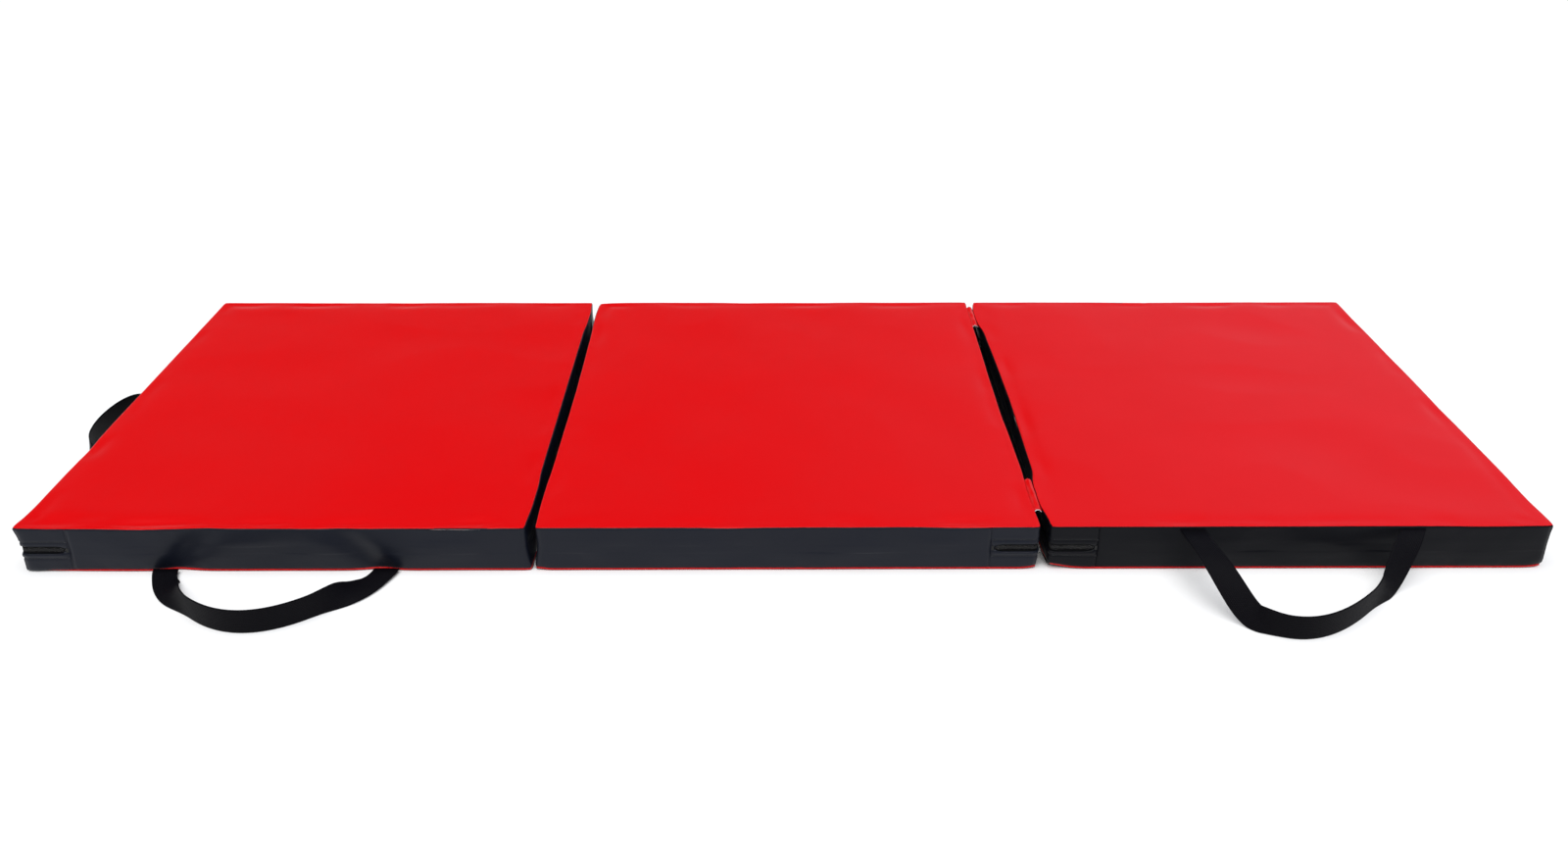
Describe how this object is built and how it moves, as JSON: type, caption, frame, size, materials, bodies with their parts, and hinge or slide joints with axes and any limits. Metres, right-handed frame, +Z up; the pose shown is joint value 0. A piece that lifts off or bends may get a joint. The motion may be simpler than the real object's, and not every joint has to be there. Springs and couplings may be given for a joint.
{
  "type": "folding gym mat",
  "caption": "Foam exercise mat in zipped vinyl covers, its equal panels joined by sewn hinge tabs so that it folds into a stack, with webbing carrying handles.",
  "frame": {"origin": "centre of the centre panel's underside, on the floor", "axes": "+X along the row of three panels, from the left panel to the right one; +Y from the front edge to the back edge; +Z up"},
  "size_m": [1.8573, 0.8421, 0.06],
  "materials": {
    "red_vinyl": "satin",
    "black_vinyl": "satin",
    "foam": "matte",
    "zip_tape": "matte",
    "zip_nylon": "satin",
    "zip_metal": "satin",
    "webbing": "matte"
  },
  "bodies": {
    "left_panel": {"left_foam_core": "foam", "left_top_skin": "red_vinyl", "left_bottom_skin": "red_vinyl", "left_side_band": "black_vinyl", "left_zip_band_upper": "black_vinyl", "left_zip_band_lower": "black_vinyl", "left_zip_tape_upper": "zip_tape", "left_zip_tape_lower": "zip_tape", "left_zip_coil": "zip_nylon", "left_zip_stops": "zip_nylon"},
    "centre_panel": {"centre_foam_core": "foam", "centre_top_skin": "red_vinyl", "centre_bottom_skin": "red_vinyl", "centre_side_band": "black_vinyl", "centre_zip_band_upper": "black_vinyl", "centre_zip_band_lower": "black_vinyl", "centre_zip_tape_upper": "zip_tape", "centre_zip_tape_lower": "zip_tape", "centre_zip_coil": "zip_nylon", "centre_zip_stops": "zip_nylon", "left_hinge_tab_front": "red_vinyl", "left_hinge_tab_rear": "red_vinyl", "right_hinge_tab_front": "red_vinyl", "right_hinge_tab_rear": "red_vinyl"},
    "right_panel": {"right_foam_core": "foam", "right_top_skin": "red_vinyl", "right_bottom_skin": "red_vinyl", "right_side_band": "black_vinyl", "right_zip_band_upper": "black_vinyl", "right_zip_band_lower": "black_vinyl", "right_zip_tape_upper": "zip_tape", "right_zip_tape_lower": "zip_tape", "right_zip_coil": "zip_nylon", "right_zip_stops": "zip_nylon"},
    "left_zip_slider": {"left_zip_slider": "zip_metal"},
    "left_zip_pull": {"left_zip_pull": "zip_metal"},
    "centre_zip_slider": {"centre_zip_slider": "zip_metal"},
    "centre_zip_pull": {"centre_zip_pull": "zip_metal"},
    "right_zip_slider": {"right_zip_slider": "zip_metal"},
    "right_zip_pull": {"right_zip_pull": "zip_metal"},
    "front_left_handle": {"front_left_handle": "webbing"},
    "front_right_handle": {"front_right_handle": "webbing"},
    "end_handle": {"end_handle": "webbing"}
  },
  "joints": [
    {"name": "left_fold", "type": "hinge", "parent": "centre_panel", "child": "left_panel", "pos_m": [-0.302, 0, -0.0005], "axis": [0, -1, 0], "range_deg": [0, 180], "deforming": ["left_hinge_tab_front", "left_hinge_tab_rear"]},
    {"name": "right_fold", "type": "hinge", "parent": "centre_panel", "child": "right_panel", "pos_m": [0.302, 0, 0.0605], "axis": [0, -1, 0], "range_deg": [0, 180], "deforming": ["right_hinge_tab_front", "right_hinge_tab_rear"]},
    {"name": "front_left_handle_lift", "type": "hinge", "parent": "left_panel", "child": "front_left_handle", "pos_m": [-0.601, -0.3515, 0.0045], "axis": [-1, 0, 0], "range_deg": [0, 50]},
    {"name": "front_right_handle_lift", "type": "hinge", "parent": "right_panel", "child": "front_right_handle", "pos_m": [0.6075, -0.3515, 0.056], "axis": [-1, 0, 0], "range_deg": [0, 90]},
    {"name": "end_handle_lift", "type": "hinge", "parent": "left_panel", "child": "end_handle", "pos_m": [-0.9015, 0, 0.0045], "axis": [0, 1, 0], "range_deg": [0, 50]},
    {"name": "left_zip_run", "type": "slide", "parent": "left_panel", "child": "left_zip_slider", "axis": [0, -1, 0], "range_m": [0, 0.62], "deforming": ["left_zip_coil"]},
    {"name": "centre_zip_run", "type": "slide", "parent": "centre_panel", "child": "centre_zip_slider", "axis": [0, -1, 0], "range_m": [0, 0.62], "deforming": ["centre_zip_coil"]},
    {"name": "right_zip_run", "type": "slide", "parent": "right_panel", "child": "right_zip_slider", "axis": [0, -1, 0], "range_m": [0, 0.56], "deforming": ["right_zip_coil"]},
    {"name": "left_zip_pull_swing", "type": "hinge", "parent": "left_zip_slider", "child": "left_zip_pull", "pos_m": [-0.902, 0.31, 0.03], "axis": [0, 0, -1], "range_deg": [0, 170]},
    {"name": "centre_zip_pull_swing", "type": "hinge", "parent": "centre_zip_slider", "child": "centre_zip_pull", "pos_m": [0.298, 0.31, 0.03], "axis": [0, 0, 1], "range_deg": [0, 18]},
    {"name": "right_zip_pull_swing", "type": "hinge", "parent": "right_zip_slider", "child": "right_zip_pull", "pos_m": [0.306, 0.25, 0.03], "axis": [0, 0, -1], "range_deg": [0, 18]}
  ]
}
